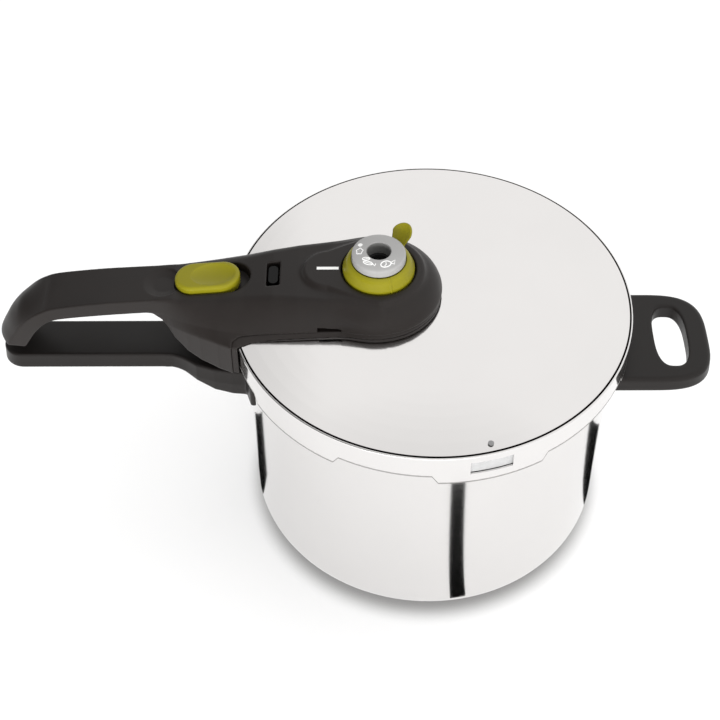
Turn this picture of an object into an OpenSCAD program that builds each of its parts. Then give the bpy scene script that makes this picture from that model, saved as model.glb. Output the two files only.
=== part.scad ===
// Stovetop pressure cooker with a turning bayonet lid.
// Origin: centre of the base on the table plane. +Z is up and the long handles point along -X.

/* [Pot] */
// Outer radius of the pot wall in mm
pot_r = 113; // [112.5:0.5:113.5]
// Sheet thickness of pot and lid in mm
sheet = 1; // [0.9:0.1:1.2]
// Height of the pot rim above the table in mm
rim_z = 163; // [162:0.5:164]
// Outer radius of the pot's rounded bottom corner in mm
corner_r = 14; // [10:1:18]
// Radius of the heat-spreading base disc in mm
base_r = 97.4; // [90:0.5:98]

/* [Lid] */
// Rise of the dome above its edge in mm
dome_rise = 8; // [7.8:0.1:8.2]
// Angular width of one lid lug in degrees
lid_lug_w = 33; // [28:1:33]
// Angular width of one pot lug in degrees
pot_lug_w = 21; // [16:1:21]

/* [Grips] */
// Half width of the long lid grip in mm
lid_grip_hw = 15; // [14:0.5:16]
// Half width of the long pot handle in mm
pot_grip_hw = 14.8; // [14:0.2:15]
// Half width of the helper handle in mm
helper_hw = 36; // [34:0.5:37]

/* [Valve] */
// Largest radius of the turning ring in mm
ring_r = 21.5; // [20.5:0.1:21.8]
// Radius of the dial on top of the ring in mm
dial_r = 16; // [15:0.1:16.5]
// Length of the sliding lock button in mm
button_len = 41; // [39:0.5:41.5]

/* [Hidden] */
$fn = 128;
slack = 0.05;
eps = 0.02;

// lid dome and bayonet
edge_r = pot_r + 7;
edge_z = rim_z + 9.5;
skirt_r = pot_r + 8.5;
skirt_in = skirt_r - sheet;
short_z = rim_z - 6.9;
long_z = rim_z - 13;
shoulder_r = 1;
cap_r = (edge_r * edge_r + dome_rise * dome_rise) / (2 * dome_rise);
cap_c = edge_z + dome_rise - cap_r;
cap_steps = 14;
lug_z = rim_z - 11;
lug_t = 2;
lug_mids = [-75, -7, 51, 109, 167, 226, 285];
pot_lug_r = pot_r + 7;
lug_in = pot_r + 3.9;
step_w = 3.6;
function cap_z(r, off) = cap_c + sqrt((cap_r + off) * (cap_r + off) - r * r);
function cap_path(r1, r2, off) = [
  for (i = [0 : cap_steps]) let (r = r1 + (r2 - r1) * i / cap_steps) [r, cap_z(r, off)]
];
function arc(cx, cy, r, a1, a2, n) = [
  for (i = [0 : n]) let (a = a1 + (a2 - a1) * i / n) [cx + r * cos(a), cy + r * sin(a)]
];

// pot base
pot_bottom_z = 4.5;
cap_t = 0.8;
corner_c = pot_r - corner_r;

// window in the skirt and rivet beside it
window_mid = -75.4;
window_w = 11.9;
window_low = rim_z - 5.9;
window_high = rim_z + 4.1;
rivet_az = -75.2;
rivet_at = 114.9;

// places along the lid handle
valve_x = -32.3;
safety_x = -64;
ind_x = -95;
screw_spots = [[-8, 0], [-80, 18], [-80, -18]];
seam = 3.5;
wrap_in = skirt_r + 0.7;
wrap_out = wrap_in + 3.4;
platform_z = 200.5;
platform_r = 27.3;
bore_r = 22.3;
bore_z = 194.5;
head_r = 38.3;

// valve stack
pipe_r = 5;
pipe_hole = 2;
pipe_top = 193.5;
core_r = 12.6;
core_bottom = 189;
core_top = 206;
ring_z = 196.02;
ring_top = 208.5;
hole_r = 7.3;
dial_face_z = 213.6;
dial_rim_z = 214.8;
needle_travel = 1.5;

// lock
button_hw = 12.4;
button_x = -155;
button_z = 186.8;
lock_travel = 5.5;
post_x = -146;
post_len = 8.8;
post_hw = 4.8;
nose_len = 13;
nose_z = 143;
nose_t = 4.3;
rib_gap = 5.4;

// pot handles
handle_top = 139.5;
handle_low = 129.3;
plate_in = pot_r + slack;
plate_out = pot_r + 1.4;
bracket_out = plate_out + 0.2;
long_screw_x = -132;
long_screw_seat = 125.2;
helper_top = 141;
helper_low = 130;
helper_x = 174;
helper_corner = 22.5;
helper_screw = [126, 12];

steel = [0.86, 0.87, 0.88];
black = [0.16, 0.15, 0.15];
green = [0.6, 0.63, 0.16];
grey = [0.75, 0.75, 0.76];
silicone = [0.82, 0.83, 0.84];
brass = [0.78, 0.66, 0.36];

// ---------- helpers ----------

module tube(r1, r2, z1, z2) {
  translate([0, 0, z1])
  difference() {
    cylinder(h = z2 - z1, r = r2);
    translate([0, 0, -1])
    cylinder(h = z2 - z1 + 2, r = r1);
  }
}

module sector(r1, r2, z1, z2, mid, w) {
  rotate([0, 0, mid - w / 2])
  rotate_extrude(angle = w)
  translate([r1, z1])
  square([r2 - r1, z2 - z1]);
}

module pin(x, y, z1, z2, r) {
  translate([x, y, z1])
  cylinder(h = z2 - z1, r = r);
}

module hex(z1, z2, r) {
  translate([0, 0, z1])
  cylinder(h = z2 - z1, r = r, $fn = 6);
}

module coil(r, wire, z1, z2, turns) {
  translate([0, 0, z1 + wire / 2])
  linear_extrude(height = z2 - z1 - wire, twist = -360 * turns, slices = turns * 14, $fn = 8)
  translate([r, 0])
  circle(r = wire * 0.62, $fn = 8);
  tube(r - wire / 2, r + wire / 2, z1, z1 + wire * 0.7);
  tube(r - wire / 2, r + wire / 2, z2 - wire * 0.7, z2);
}

// one station of the lid grip: a bar across the handle with eased ends
module bar(x, z, r, hw) {
  translate([x, 0, z])
  rotate([90, 0, 0])
  cylinder(h = 2 * hw - 3, r = r, center = true, $fn = 32);
  translate([x, 0, z])
  rotate([90, 0, 0])
  cylinder(h = 2 * hw, r = r - 1.4, center = true, $fn = 32);
}

// one slice across a handle: wide at the foot, narrower on top
module slice(x, z1, z2, foot, top) {
  bulge = top + (foot - top) * 0.62;
  mid_z = z1 + (z2 - z1) * 0.62;
  half = [
    [foot - 1.5, z1], [foot, z1 + 2], [bulge, mid_z], [top + 1.6, z2 - 1.6], [top, z2]
  ];
  other = [for (i = [4 : -1 : 0]) [-half[i][0], half[i][1]]];
  translate([x, 0, 0])
  rotate([90, 0, 90])
  linear_extrude(height = 0.4)
  polygon(concat(half, other));
}

// ---------- pot ----------

module pot_shell() {
  inner = pot_r - sheet;
  floor_z = pot_bottom_z + sheet;
  color(steel)
  union() {
    rotate_extrude()
    polygon(concat(
      [[0, pot_bottom_z]],
      arc(corner_c, pot_bottom_z + corner_r, corner_r, -90, 0, 10),
      [[pot_r, lug_z], [pot_r + 3, lug_z], [pot_r + 3, lug_z + lug_t], [pot_r, lug_z + lug_t]],
      [[pot_r, rim_z - 1.9], [pot_r + 1.6, rim_z - 1.7], [pot_r + 2.1, rim_z - 0.8]],
      [[pot_r + 1.6, rim_z], [inner + 0.5, rim_z], [inner, rim_z - 0.5]],
      arc(corner_c, floor_z + corner_r - sheet, corner_r - sheet, 0, -90, 10),
      [[0, floor_z]]
    ));
    for (i = [0 : 5])
      sector(pot_r + 2.5, pot_lug_r, lug_z, lug_z + lug_t, lug_mids[i], pot_lug_w);
  }
}

module base_core() {
  color(grey)
  pin(0, 0, cap_t, pot_bottom_z, base_r - 1);
}

module base_cap() {
  lip = 1;
  color(steel)
  rotate_extrude()
  polygon([
    [0, 0], [base_r - 1.2, 0], [base_r, 1.2], [base_r, pot_bottom_z],
    [base_r - lip, pot_bottom_z], [base_r - lip, cap_t], [0, cap_t]
  ]);
}

module long_bracket() {
  color(steel)
  difference() {
    union() {
      sector(plate_in, plate_out, 118, 138, 180, 26);
      translate([-141, -8, 127])
      cube([29, 16, 3]);
    }
    pin(0, 0, 100, 150, plate_in);
    pin(long_screw_x, 0, 120, 135, 2.4);
  }
}

module pot_long_handle() {
  color(black)
  difference() {
    union() {
      hull() {
        slice(-264.8, handle_low + 3, handle_top - 2.2, pot_grip_hw - 9, pot_grip_hw - 10.6);
        slice(-262.4, handle_low + 1.4, handle_top - 0.9, pot_grip_hw - 5.2, pot_grip_hw - 6.6);
        slice(-257.6, handle_low + 0.4, handle_top - 0.3, pot_grip_hw - 1.7, pot_grip_hw - 3);
      }
      hull() {
        slice(-257.6, handle_low + 0.4, handle_top - 0.3, pot_grip_hw - 1.7, pot_grip_hw - 3);
        slice(-250, handle_low, handle_top, pot_grip_hw, pot_grip_hw - 1.5);
      }
      hull() {
        slice(-250, handle_low, handle_top, pot_grip_hw, pot_grip_hw - 1.5);
        slice(-158, handle_low, handle_top, pot_grip_hw, pot_grip_hw - 1.5);
      }
      hull() {
        slice(-158, handle_low, handle_top, pot_grip_hw, pot_grip_hw - 1.5);
        slice(-152, handle_low - 0.4, handle_top, 18.4, 17.2);
      }
      hull() {
        slice(-152, handle_low - 0.4, handle_top, 18.4, 17.2);
        slice(-144, 126.6, handle_top, 24.2, 23);
      }
      hull() {
        slice(-144, 126.6, handle_top, 24.2, 23);
        slice(-133, 122.4, handle_top, 28.2, 27);
        slice(-122, 121, handle_top, 30.2, 29.2);
        slice(-107, 120.2, handle_top, 30.8, 30);
      }
      // flange that hugs the pot wall
      sector(pot_r - 1, pot_r + 4.5, 121.7, handle_top - 0.3, 180, 41);
      for (s = [-1, 1])
        translate([-131.4, s > 0 ? rib_gap : -rib_gap - 3.5, handle_top - 0.5])
        cube([4, 3.5, 7.3]);
    }
    pin(0, 0, 100, 160, bracket_out);
    translate([-141.2, -8.1, 126.9])
    cube([29, 16.2, 3.2]);
    pin(long_screw_x, 0, 110, long_screw_seat, 5);
    pin(long_screw_x, 0, 122, 137.1, 2.4);
    translate([-240, -8, handle_low - 1])
    cube([72, 16, 4.5]);
  }
}

module long_handle_screw() {
  color(steel)
  difference() {
    union() {
      pin(long_screw_x, 0, long_screw_seat - 2.4, long_screw_seat, 4.4);
      pin(long_screw_x, 0, long_screw_seat - 0.1, 137, 2.4);
    }
    translate([long_screw_x - 3.5, -0.6, long_screw_seat - 4])
    cube([7, 1.2, 2.6]);
  }
}

module helper_bracket() {
  color(steel)
  difference() {
    union() {
      sector(plate_in, plate_out, 131, 140, 0, 30);
      translate([110, -18, 134])
      cube([24, 36, 2.5]);
    }
    pin(0, 0, 100, 150, plate_in);
    for (s = [-1, 1])
      pin(helper_screw[0], s * helper_screw[1], 125, 145, 2);
  }
}

module helper_handle() {
  straight = helper_x - helper_corner;
  tip_hw = helper_hw - helper_corner;
  t = helper_top - helper_low;
  hole_x = helper_x - 25;
  color(black)
  difference() {
    union() {
      translate([100, -helper_hw, helper_low])
      cube([straight - 100, 2 * helper_hw, t]);
      translate([straight - 1, -tip_hw, helper_low])
      cube([helper_corner + 1, 2 * tip_hw, t]);
      for (s = [-1, 1])
        pin(straight, s * tip_hw, helper_low, helper_top, helper_corner);
    }
    pin(0, 0, 100, 150, bracket_out);
    // finger hole
    translate([hole_x - 1.5, -15, 120])
    cube([3, 30, 30]);
    translate([hole_x - 10, -16, 120])
    cube([12, 32, 30]);
    translate([hole_x - 1.5, -14, 120])
    cube([11.5, 28, 30]);
    for (s = [-1, 1]) {
      pin(hole_x - 1.5, s * 15.5, 120, 150, 8.5);
      pin(hole_x, s * 14, 120, 150, 10);
      pin(helper_screw[0], s * helper_screw[1], 120, 132.6, 4.2);
      pin(helper_screw[0], s * helper_screw[1], 132, 140.1, 2);
    }
    translate([110, -18.1, 133.9])
    cube([24.1, 36.2, 2.7]);
  }
}

module helper_screws() {
  color(steel)
  for (s = [-1, 1])
    difference() {
      union() {
        pin(helper_screw[0], s * helper_screw[1], 130.7, 132.6, 3.8);
        pin(helper_screw[0], s * helper_screw[1], 132.5, 140, 2);
      }
      translate([helper_screw[0] - 3, s * helper_screw[1] - 0.5, 130])
      cube([6, 1, 1.6]);
    }
}

// ---------- seal and lid ----------

module gasket() {
  outer = skirt_in - 0.4;
  wall = 2.2;
  low = rim_z + slack;
  high = rim_z + 7.2;
  lip = pot_r - 3;
  leg_low = window_low + 0.4;
  color(silicone)
  rotate_extrude()
  polygon([
    [outer - 1.3, leg_low], [outer, leg_low], [outer, high - 0.8], [outer - 0.8, high], [lip + 0.6, high], [lip, high - 0.8],
    [lip + 0.4, high - 1.6], [outer - wall, high - 1.8], [outer - wall, low + 1.8],
    [lip + 0.4, low + 1.6], [lip, low + 0.8], [lip + 0.6, low],
    [outer - 1.7, low]
  ]);
}

// slopes one end of a lid lug
module step_cut(az, side) {
  lean = side * step_w / (short_z - long_z);
  rotate([0, 0, az])
  translate([lug_in - 2, 0, 0])
  rotate([90, 0, 90])
  linear_extrude(height = 10)
  polygon([
    [0.3 * lean, short_z - 0.3], [(short_z - long_z + 1) * lean, long_z - 1],
    [-2 * side, long_z - 1], [-2 * side, short_z - 0.3]
  ]);
}

module lid_shell() {
  line = 0.4;
  line_depth = 0.75;
  sc = skirt_r - shoulder_r;
  sz = edge_z - shoulder_r - 0.2;
  pads = [[valve_x, 10, 178.3, 180.3], [safety_x, 9, 176.3, 179], [ind_x, 6, 173.7, 176.3]];
  color(steel)
  difference() {
    union() {
      rotate_extrude()
      polygon(concat(
        cap_path(0, edge_r - line, 0),
        [[edge_r - line, edge_z - line_depth], [edge_r + line, edge_z - line_depth]],
        arc(sc, sz, shoulder_r, 90, 0, 6),
        [[skirt_r, long_z], [lug_in, long_z], [lug_in, long_z + sheet]],
        [[skirt_in, long_z + sheet], [skirt_in, sz - sheet]],
        cap_path(edge_r - 4, 0, -sheet)
      ));
      for (p = pads)
        pin(p[0], 0, p[2], p[3], p[1]);
    }
    for (i = [0 : 5]) {
      start = lug_mids[i] + lid_lug_w / 2;
      stop = lug_mids[i + 1] - lid_lug_w / 2;
      sector(lug_in - 2, skirt_r + 2, long_z - 2, short_z, (start + stop) / 2, stop - start);
      step_cut(start, -1);
      step_cut(stop, 1);
    }
    sector(skirt_in - 1, skirt_r + 1, window_low, window_high, window_mid, window_w);
    pin(valve_x, 0, 170, 190, pipe_r + slack);
    pin(safety_x, 0, 170, 190, pipe_r + slack);
    pin(ind_x, 0, 170, 190, 4.65);
    for (s = screw_spots)
      pin(s[0], s[1], 170, 190, 2.2);
    rotate([0, 0, rivet_az])
    pin(rivet_at, 0, 165, 180, 0.95);
  }
}

module lid_rivet() {
  top = cap_z(rivet_at, 0);
  color(grey)
  rotate([0, 0, rivet_az]) {
    pin(rivet_at, 0, top + 0.25, top + 0.95, 1.7);
    pin(rivet_at, 0, top - 1.8, top + 0.5, 0.9);
    pin(rivet_at, 0, top - 2.2, top - 1.35, 1.7);
  }
}

// outer form of the neck and belly of the lid handle, before it is cut to the lid
module neck_form() {
  hull() {
    slice(-163.4, 178.6, 188, lid_grip_hw, lid_grip_hw - 1.4);
    slice(-155, 163, 188.6, 20, lid_grip_hw - 1.2);
    slice(-147, 155.2, 189, 24.5, lid_grip_hw - 1);
    slice(-139, 151.6, 189.8, 28, lid_grip_hw - 0.8);
    slice(-128, 149.6, 190.7, 32, lid_grip_hw - 0.6);
    slice(-112, 149.6, 193, 35, lid_grip_hw);
  }
  hull() {
    slice(-112, 166, 193, 36, lid_grip_hw);
    slice(-88, 170, 197.2, 37.5, 19);
    pin(valve_x, 0, 172, 186, head_r);
    pin(valve_x, 0, 172, 192, head_r - 2.6);
    pin(valve_x, 0, 172, 196.5, head_r - 6.5);
    pin(valve_x, 0, 172, 198.6, head_r - 10.5);
  }
}

// raised teardrop platform round the valve
module platform_form() {
  tip_x = -70.4;
  tip_r = 6.8;
  reach = valve_x - tip_x;
  lean = acos((platform_r - tip_r) / reach);
  low = 192;
  pin(valve_x, 0, low, platform_z, platform_r);
  pin(tip_x, 0, low, platform_z, tip_r);
  translate([0, 0, low])
  linear_extrude(height = platform_z - low)
  polygon([
    [tip_x - tip_r * cos(lean), tip_r * sin(lean)],
    [valve_x - platform_r * cos(lean), platform_r * sin(lean)],
    [valve_x - platform_r * cos(lean), -platform_r * sin(lean)],
    [tip_x - tip_r * cos(lean), -tip_r * sin(lean)]
  ]);
}

module handle_base() {
  color(black)
  difference() {
    intersection() {
      neck_form();
      rotate_extrude()
      polygon(concat(
        cap_path(0, skirt_r, seam),
        [[wrap_out, edge_z - 0.6], [wrap_out, 145], [wrap_in, 145], [wrap_in, edge_z - 2]],
        cap_path(edge_r + 1, 0, slack)
      ));
    }
    pin(valve_x, 0, 170, 180.3, 10.1);
    pin(valve_x, 0, 170, 190, pipe_r + slack);
    pin(safety_x, 0, 170, 190, 9.2);
    pin(ind_x, 0, 170, 190, 6.2);
    for (s = screw_spots)
      pin(s[0], s[1], 170, 190, 2.2);
  }
}

module handle_cover() {
  color(black)
  difference() {
    union() {
      neck_form();
      platform_form();
      hull() {
        bar(-161, 183.4, 4.7, lid_grip_hw);
        bar(-200, 180.6, 5.1, lid_grip_hw + 0.3);
      }
      hull() {
        bar(-200, 180.6, 5.1, lid_grip_hw + 0.3);
        bar(-229, 176.8, 4.8, lid_grip_hw + 0.8);
        bar(-232.5, 178.2, 3.5, 9);
      }
      hull() {
        bar(-229, 176.8, 4.8, lid_grip_hw + 0.8);
        bar(-232.5, 178.2, 3.5, 9);
        bar(-239, 170.8, 4.7, lid_grip_hw + 1.2);
        bar(-245.2, 170.8, 3.5, 8);
      }
      hull() {
        bar(-239, 170.8, 4.7, lid_grip_hw + 1.2);
        bar(-245.2, 170.8, 3.5, 8);
        bar(-246, 162.2, 4.9, lid_grip_hw + 1);
        bar(-252.7, 163.3, 3.5, 7);
      }
      hull() {
        bar(-246, 162.2, 4.9, lid_grip_hw + 1);
        bar(-252.7, 163.3, 3.5, 7);
        bar(-251.6, 152.6, 4.6, lid_grip_hw + 0.2);
        bar(-260.2, 151.5, 3.5, 6);
      }
    }
    // everything under the seam belongs to the lower shell and the lid
    rotate_extrude()
    polygon(concat(
      [[0, 100]],
      cap_path(0, skirt_r, seam + eps),
      [[wrap_out + eps, edge_z - 0.6], [wrap_out + eps, 100]]
    ));
    // bores for the valve, its nut and the safety valve
    pin(valve_x, 0, bore_z, 210, bore_r);
    pin(valve_x, 0, 170, bore_z + 1, 13.2);
    pin(safety_x, 0, 170, 191, 9.2);
    // steam vent under the front flank
    translate([-68.5, -46, 176])
    cube([14, 46, cap_z(73, seam) - 176 + 2.6]);
    // indicator slot and its stem hole
    translate([ind_x - 3.9, -9.7, 187])
    cube([7.8, 19.4, 20]);
    pin(ind_x, 0, 170, 190, 5);
    // lock pocket and the channel for the bolt
    translate([button_x + button_hw - 1, -button_hw - 0.8, button_z - 0.3])
    cube([button_len + lock_travel - 2 * button_hw + 2, 2 * button_hw + 1.6, 20]);
    pin(button_x + button_hw - 0.5, 0, button_z - 0.3, 210, button_hw + 0.8);
    pin(button_x + button_len + lock_travel - button_hw + 0.6, 0, button_z - 0.3, 210, button_hw + 0.8);
    // shallow dish behind the button
    pin(-161.5, 0, 187.2, 210, 11);
    translate([post_x - 0.6, -post_hw - 0.4, 140])
    cube([post_len + lock_travel + 1.2, 2 * post_hw + 0.8, 60]);
    for (s = screw_spots)
      pin(s[0], s[1], 170, 190.2, 2.02);
    translate([-69, -1.1, platform_z - 0.4])
    cube([13, 2.2, 2]);
  }
}

module handle_screws() {
  color(steel)
  for (s = screw_spots) {
    low = cap_z(norm(s), -sheet) - 0.4;
    difference() {
      union() {
        pin(s[0], s[1], low - 2.4, low, 4);
        pin(s[0], s[1], low - 0.1, 190, 2);
      }
      translate([s[0] - 3, s[1] - 0.5, low - 3])
      cube([6, 1, 1.6]);
    }
  }
}

module index_mark() {
  color([0.95, 0.95, 0.95])
  translate([-69, -1.1, platform_z - 0.4])
  cube([13, 2.2, 0.45]);
}

// ---------- steam pipe, safety valve and indicator ----------

module steam_pipe() {
  color(steel)
  translate([valve_x, 0, 0])
  difference() {
    union() {
      pin(0, 0, 172, pipe_top, pipe_r);
      hex(171, 175.5, 9);
    }
    pin(0, 0, 170, 200, pipe_hole);
  }
}

module pipe_washer() {
  color(silicone)
  translate([valve_x, 0, 0])
  tube(pipe_r, 8.4, 175.5, 178.3);
}

module pipe_nut() {
  low = cap_z(-valve_x - 9, seam) + 0.02;
  color(steel)
  translate([valve_x, 0, 0])
  difference() {
    hex(low, 188.4, 9);
    pin(0, 0, 180, 200, pipe_r);
  }
}

module safety_body() {
  color(brass)
  translate([safety_x, 0, 0])
  difference() {
    union() {
      pin(0, 0, 172, 180, pipe_r);
      pin(0, 0, 179, 188, 7.4);
    }
    pin(0, 0, 175, 187, 3.6);
    pin(0, 0, 170, 176, 2);
    pin(0, 0, 180, 190, 1);
    for (a = [0 : 90 : 270])
      rotate([0, 0, a])
      translate([0, 0, 184])
      rotate([0, 90, 0])
      cylinder(h = 10, r = 1);
  }
}

module safety_nut() {
  color(steel)
  translate([safety_x, 0, 0])
  difference() {
    hex(172.6, 176.3, 8.4);
    pin(0, 0, 170, 180, pipe_r);
  }
}

module safety_ball() {
  ball_r = 3;
  color(steel)
  translate([safety_x, 0, 175 + sqrt(ball_r * ball_r - 4)])
  sphere(r = ball_r);
}

module safety_spring() {
  color(steel)
  translate([safety_x, 0, 0])
  coil(2.4, 0.8, 180.4, 186.95, 5);
}

module indicator_bush() {
  color(silicone)
  translate([ind_x, 0, 0])
  rotate_extrude()
  polygon([
    [3 + slack, 172.6], [5.8, 172.6], [5.8, 173.7], [4.65, 173.7], [4.65, 176.3], [5.8, 176.3],
    [5.4, 177.4], [3 + slack, 177.4]
  ]);
}

module indicator_pin() {
  head_hw = 2.8;
  head_end = 4.4;
  color(black)
  translate([ind_x, 0, 0]) {
    pin(0, 0, 166.9, 168.3, 4.5);
    pin(0, 0, 168.2, 188, 3);
    translate([-head_hw, -head_end, 187.1])
    cube([2 * head_hw, 2 * head_end, 8.2]);
    for (s = [-1, 1])
      pin(0, s * head_end, 187.1, 195.3, head_hw);
  }
}

module indicator_seal() {
  color(silicone)
  translate([ind_x, 0, 0])
  tube(3, 4.4, 168.3, 169.5);
}

// ---------- lock ----------

module lock_button() {
  far_x = button_x + button_len - button_hw;
  tilt = 4.7;
  color(green)
  difference() {
    union() {
      pin(button_x + button_hw, 0, button_z, 200, button_hw);
      pin(far_x, 0, button_z, 200, button_hw);
      translate([button_x + button_hw, -button_hw, button_z])
      cube([button_len - 2 * button_hw, 2 * button_hw, 200 - button_z]);
    }
    // sloping top face
    translate([button_x - 2, -20, 191.6])
    rotate([0, -tilt, 0])
    cube([60, 40, 20]);
    // thumb hollow
    translate([-128, 0, 207.2])
    rotate([90, 0, 0])
    translate([0, 0, -8])
    cylinder(h = 16, r = 15.4);
    // socket for the bolt
    translate([post_x, -post_hw, button_z - 1])
    cube([post_len, 2 * post_hw, 3]);
  }
}

module lock_bolt() {
  color(steel)
  union() {
    translate([post_x, -post_hw, nose_z])
    cube([post_len, 2 * post_hw, button_z + 2 - nose_z]);
    translate([post_x, -post_hw, nose_z])
    cube([nose_len, 2 * post_hw, nose_t]);
  }
}

// ---------- removable valve and selector ----------

module valve_core() {
  color(black)
  translate([valve_x, 0, 0])
  rotate_extrude()
  polygon([
    [pipe_r + slack, core_bottom], [core_r, core_bottom], [core_r, bore_z + 0.1], [16, bore_z + 0.1],
    [16, ring_z - eps], [core_r, ring_z - eps], [core_r, core_top], [5.6, core_top],
    [5.6, pipe_top + 0.1], [pipe_r + slack, pipe_top + 0.1]
  ]);
}

module valve_retainer() {
  color(steel)
  translate([valve_x, 0, 0])
  difference() {
    pin(0, 0, 201.5, 203, 5.6);
    pin(0, 0, 200, 205, 1.9);
    for (a = [45 : 90 : 315])
      rotate([0, 0, a])
      pin(3.8, 0, 200, 205, 0.9);
  }
}

module valve_needle() {
  seat_z = pipe_top;
  color(brass)
  translate([valve_x, 0, 0])
  rotate_extrude()
  polygon([
    [0, seat_z - 2.4], [0.6, seat_z - 2.4], [1.9, seat_z + 0.05], [4.4, seat_z + 0.15],
    [4.4, seat_z + 2], [1.6, seat_z + 2], [1.6, 203.6], [0, 203.6]
  ]);
}

module valve_spring() {
  color(steel)
  translate([valve_x, 0, 0])
  coil(3.2, 0.8, pipe_top + 2.02, 201.48, 4);
}

module selector_ring() {
  round_r = 5.5;
  paddle_az = 58;
  color(green)
  translate([valve_x, 0, 0])
  union() {
    rotate_extrude()
    polygon(concat(
      [[core_r + slack, ring_z], [ring_r - 0.8, ring_z], [ring_r, ring_z + 1.2]],
      arc(ring_r - round_r, ring_top - round_r, round_r, 0, 90, 8),
      [[core_r + slack, ring_top]]
    ));
    rotate([0, 0, paddle_az])
    translate([19.5, 0, 203.6])
    rotate([0, 46, 0]) {
      translate([-4, -3.6, 0])
      cube([5.5, 7.2, 7]);
      translate([-1.3, 0, 8.6])
      rotate([0, 90, 0])
      cylinder(h = 2.6, r = 6.2);
    }
    rotate([0, 0, -70])
    translate([17.2, -0.6, 205])
    cube([3.1, 1.2, 2.6]);
  }
}

module dial_cap() {
  color(grey)
  translate([valve_x, 0, 0])
  rotate_extrude()
  polygon([
    [hole_r, core_top + 0.1], [9, core_top + 0.1], [9, ring_top + eps], [dial_r - 0.6, ring_top + eps],
    [dial_r, ring_top + 0.8], [dial_r, dial_face_z - 1.4], [dial_r - 1.4, dial_face_z],
    [hole_r + 1.8, dial_face_z], [hole_r + 1.2, dial_rim_z], [hole_r + 0.5, dial_rim_z],
    [hole_r, dial_rim_z - 0.5]
  ]);
}

module dial_icons() {
  mid = 11.9;
  low = dial_face_z;
  high = dial_face_z + 0.25;
  color([0.97, 0.97, 0.97])
  translate([valve_x, 0, 0]) {
    // plain dot
    rotate([0, 0, 149])
    pin(mid, 0, low, high, 1.1);
    // steam cloud
    rotate([0, 0, 176]) {
      pin(mid - 1, 0, low, high, 1.5);
      pin(mid + 0.8, 1.3, low, high, 1.2);
      pin(mid + 0.8, -1.3, low, high, 1.2);
    }
    // two leaves on a stalk
    rotate([0, 0, 232]) {
      pin(mid, 2, low, high, 1.2);
      pin(mid, -2, low, high, 1.2);
      translate([mid - 0.4, -2, low])
      cube([0.8, 4, high - low]);
    }
    // fish
    rotate([0, 0, 294]) {
      intersection() {
        pin(mid + 2.4, 0, low, high, 4);
        pin(mid - 2.4, 0, low, high, 4);
      }
      translate([mid - 1, 2.8, low])
      cube([2, 1.2, high - low]);
    }
  }
}

pot_shell();
base_core();
base_cap();
long_bracket();
pot_long_handle();
long_handle_screw();
helper_bracket();
helper_handle();
helper_screws();
gasket();
lid_shell();
lid_rivet();
handle_base();
handle_cover();
handle_screws();
index_mark();
steam_pipe();
pipe_washer();
pipe_nut();
safety_body();
safety_nut();
safety_ball();
safety_spring();
indicator_bush();
indicator_pin();
indicator_seal();
lock_button();
lock_bolt();
valve_core();
valve_retainer();
valve_needle();
valve_spring();
selector_ring();
dial_cap();
dial_icons();
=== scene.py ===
import math

import bpy
import numpy as np
from mathutils import Matrix, Vector


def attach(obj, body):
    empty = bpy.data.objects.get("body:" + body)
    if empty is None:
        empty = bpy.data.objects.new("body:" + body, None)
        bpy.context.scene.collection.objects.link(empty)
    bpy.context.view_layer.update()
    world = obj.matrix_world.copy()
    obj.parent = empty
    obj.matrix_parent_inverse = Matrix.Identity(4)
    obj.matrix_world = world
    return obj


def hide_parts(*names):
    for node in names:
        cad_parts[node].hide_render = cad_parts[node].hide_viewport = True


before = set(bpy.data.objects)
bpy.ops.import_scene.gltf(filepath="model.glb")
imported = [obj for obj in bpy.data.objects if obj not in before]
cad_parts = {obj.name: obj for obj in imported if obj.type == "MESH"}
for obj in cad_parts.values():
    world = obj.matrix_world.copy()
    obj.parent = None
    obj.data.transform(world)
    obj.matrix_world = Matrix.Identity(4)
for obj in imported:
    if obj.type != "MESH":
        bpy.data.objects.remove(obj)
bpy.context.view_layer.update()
MM = 0.001

# ---------------------------------------------------------------- shared sizes, in mm
POT_R = 113.0
RIM_Z = 163.0
EDGE_R = POT_R + 7.0
EDGE_Z = RIM_Z + 9.5
SKIRT_R = POT_R + 8.5
DOME = 8.0
CAP_R = (EDGE_R ** 2 + DOME ** 2) / (2 * DOME)
CAP_C = EDGE_Z + DOME - CAP_R
VALVE_X = -32.3
SEAM = 3.5
WRAP_IN = SKIRT_R + 0.7
WRAP_OUT = WRAP_IN + 3.4
PLATFORM_Z = 200.5
HANDLE_TOP = 140.3
BRACKET_OUT = POT_R + 1.6
BUTTON_Y = 1.2


def cap_z(r, off=0.0):
    return CAP_C + np.sqrt((CAP_R + off) ** 2 - r ** 2)


# ---------------------------------------------------------------- materials
def material(name):
    m = bpy.data.materials.new(name)
    m.use_nodes = True
    m.node_tree.nodes.clear()
    return m, m.node_tree.nodes, m.node_tree.links


def node(nodes, kind, **values):
    n = nodes.new(kind)
    for key, value in values.items():
        if key in n.inputs.keys():
            n.inputs[key].default_value = value
        else:
            setattr(n, key, value)
    return n


def ramp(nodes, low, high, a=0.0, b=1.0):
    n = nodes.new("ShaderNodeMapRange")
    n.inputs["From Min"].default_value = low
    n.inputs["From Max"].default_value = high
    n.inputs["To Min"].default_value = a
    n.inputs["To Max"].default_value = b
    return n


def finish_material(m, nodes, links, shader):
    out = nodes.new("ShaderNodeOutputMaterial")
    links.new(shader.outputs[0], out.inputs["Surface"])
    return m


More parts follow.
